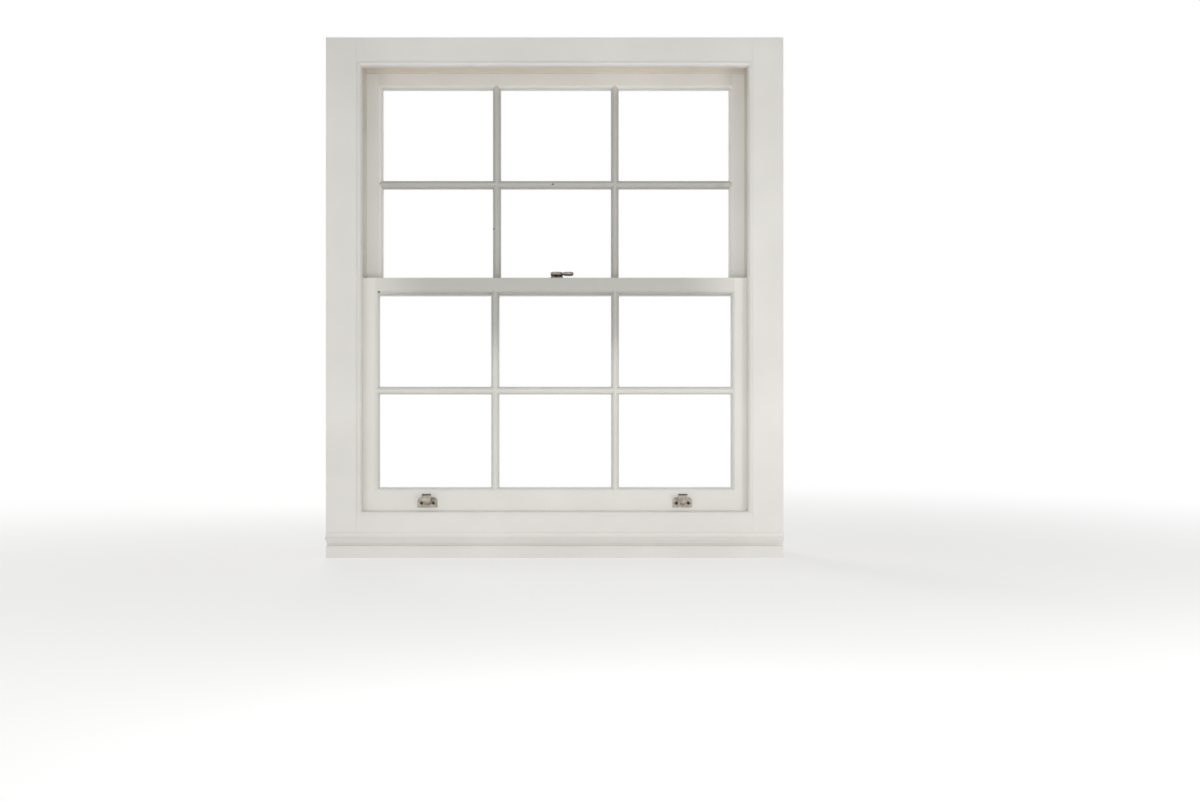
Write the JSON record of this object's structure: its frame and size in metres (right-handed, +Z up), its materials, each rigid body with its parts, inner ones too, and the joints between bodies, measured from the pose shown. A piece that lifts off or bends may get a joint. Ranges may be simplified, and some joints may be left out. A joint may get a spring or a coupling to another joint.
{
  "type": "sash window",
  "caption": "Double-hung box sash window with multi-pane sliding sashes, weights on cords over pulleys, a turning fastener and hook lifts.",
  "frame": {"origin": "on the sill's underside, midway between the jambs, in the plane between the two sashes", "axes": "+Z up, +X to the right as seen from the room, +Y outdoors"},
  "size_m": [1.16, 0.194, 1.3196],
  "materials": {
    "painted_timber": "satin",
    "channel_timber": "satin",
    "bare_timber": "matte",
    "glass": "gloss",
    "painted_putty": "satin",
    "cotton_cord": "matte",
    "pulley_brass": "satin",
    "weight_iron": "matte",
    "bronzed_brass": "satin",
    "aged_nickel": "satin",
    "steel_screws": "satin"
  },
  "bodies": {
    "frame": {"sill": "painted_timber", "head": "bare_timber", "pulley_stile_left": "channel_timber", "pulley_stile_right": "channel_timber", "pocket_pieces": "channel_timber", "inner_lining_left": "painted_timber", "inner_lining_right": "painted_timber", "inner_lining_head": "painted_timber", "outer_lining_left": "painted_timber", "outer_lining_right": "painted_timber", "outer_lining_head": "painted_timber", "back_lining_left": "bare_timber", "back_lining_right": "bare_timber", "parting_slips": "bare_timber", "parting_bead_left": "channel_timber", "parting_bead_right": "channel_timber", "parting_bead_head": "channel_timber", "staff_bead_left": "painted_timber", "staff_bead_right": "painted_timber", "staff_bead_head": "painted_timber", "staff_bead_bottom": "painted_timber", "cover_mould": "painted_timber", "pulley_cases_left": "pulley_brass", "pulley_cases_right": "pulley_brass", "pulley_axles": "steel_screws", "case_screws": "steel_screws", "lower_cord_left": "cotton_cord", "lower_cord_right": "cotton_cord", "upper_cord_left": "cotton_cord", "upper_cord_right": "cotton_cord"},
    "lower_sash": {"lower_stile_left": "painted_timber", "lower_stile_right": "painted_timber", "lower_bottom_rail": "painted_timber", "lower_meeting_rail": "painted_timber", "lower_upright_bars": "painted_timber", "lower_cross_bars": "painted_timber", "lower_panes": "glass", "lower_putty": "painted_putty", "fastener_base": "bronzed_brass", "sash_lifts": "aged_nickel", "lower_sash_screws": "steel_screws"},
    "upper_sash": {"upper_stile_left": "painted_timber", "upper_stile_right": "painted_timber", "upper_top_rail": "painted_timber", "upper_meeting_rail": "painted_timber", "upper_upright_bars": "painted_timber", "upper_cross_bars": "painted_timber", "upper_panes": "glass", "upper_putty": "painted_putty", "fastener_keeper": "bronzed_brass", "keeper_screws": "steel_screws"},
    "fastener_lever": {"fastener_lever": "bronzed_brass"},
    "lower_pulley_wheel_left": {"lower_pulley_wheel_left": "pulley_brass"},
    "lower_weight_left": {"lower_weight_left": "weight_iron"},
    "lower_pulley_wheel_right": {"lower_pulley_wheel_right": "pulley_brass"},
    "lower_weight_right": {"lower_weight_right": "weight_iron"},
    "upper_pulley_wheel_left": {"upper_pulley_wheel_left": "pulley_brass"},
    "upper_weight_left": {"upper_weight_left": "weight_iron"},
    "upper_pulley_wheel_right": {"upper_pulley_wheel_right": "pulley_brass"},
    "upper_weight_right": {"upper_weight_right": "weight_iron"}
  },
  "joints": [
    {"name": "lower_sash_slide", "type": "slide", "parent": "frame", "child": "lower_sash", "axis": [0, 0, 1], "range_m": [0, 0.48], "deforming": ["lower_cord_left", "lower_cord_right"]},
    {"name": "upper_sash_slide", "type": "slide", "parent": "frame", "child": "upper_sash", "axis": [0, 0, 1], "range_m": [-0.48, 0], "deforming": ["upper_cord_left", "upper_cord_right"]},
    {"name": "fastener_turn", "type": "hinge", "parent": "lower_sash", "child": "fastener_lever", "pos_m": [0.003, -0.016, 0.7123], "axis": [0, 0, 1], "range_deg": [-180, 0]},
    {"name": "lower_pulley_turn_left", "type": "hinge", "parent": "frame", "child": "lower_pulley_wheel_left", "pos_m": [-0.523, -0.0275, 1.1656], "axis": [0, 1, 0], "continuous": true},
    {"name": "lower_weight_slide_left", "type": "slide", "parent": "frame", "child": "lower_weight_left", "axis": [0, 0, 1], "range_m": [-0.48, 0]},
    {"name": "lower_pulley_turn_right", "type": "hinge", "parent": "frame", "child": "lower_pulley_wheel_right", "pos_m": [0.523, -0.0275, 1.1656], "axis": [0, 1, 0], "continuous": true},
    {"name": "lower_weight_slide_right", "type": "slide", "parent": "frame", "child": "lower_weight_right", "axis": [0, 0, 1], "range_m": [-0.48, 0]},
    {"name": "upper_pulley_turn_left", "type": "hinge", "parent": "frame", "child": "upper_pulley_wheel_left", "pos_m": [-0.523, 0.0275, 1.1656], "axis": [0, 1, 0], "continuous": true},
    {"name": "upper_weight_slide_left", "type": "slide", "parent": "frame", "child": "upper_weight_left", "axis": [0, 0, 1], "range_m": [0, 0.48]},
    {"name": "upper_pulley_turn_right", "type": "hinge", "parent": "frame", "child": "upper_pulley_wheel_right", "pos_m": [0.523, 0.0275, 1.1656], "axis": [0, 1, 0], "continuous": true},
    {"name": "upper_weight_slide_right", "type": "slide", "parent": "frame", "child": "upper_weight_right", "axis": [0, 0, 1], "range_m": [0, 0.48]}
  ],
  "couplings": [
    {"joint": "lower_pulley_turn_left", "follows": "lower_sash_slide", "rad_per_m": -41.667},
    {"joint": "lower_weight_slide_left", "follows": "lower_sash_slide", "ratio": -1},
    {"joint": "lower_pulley_turn_right", "follows": "lower_sash_slide", "rad_per_m": 41.667},
    {"joint": "lower_weight_slide_right", "follows": "lower_sash_slide", "ratio": -1},
    {"joint": "upper_pulley_turn_left", "follows": "upper_sash_slide", "rad_per_m": -41.667},
    {"joint": "upper_weight_slide_left", "follows": "upper_sash_slide", "ratio": -1},
    {"joint": "upper_pulley_turn_right", "follows": "upper_sash_slide", "rad_per_m": 41.667},
    {"joint": "upper_weight_slide_right", "follows": "upper_sash_slide", "ratio": -1}
  ]
}
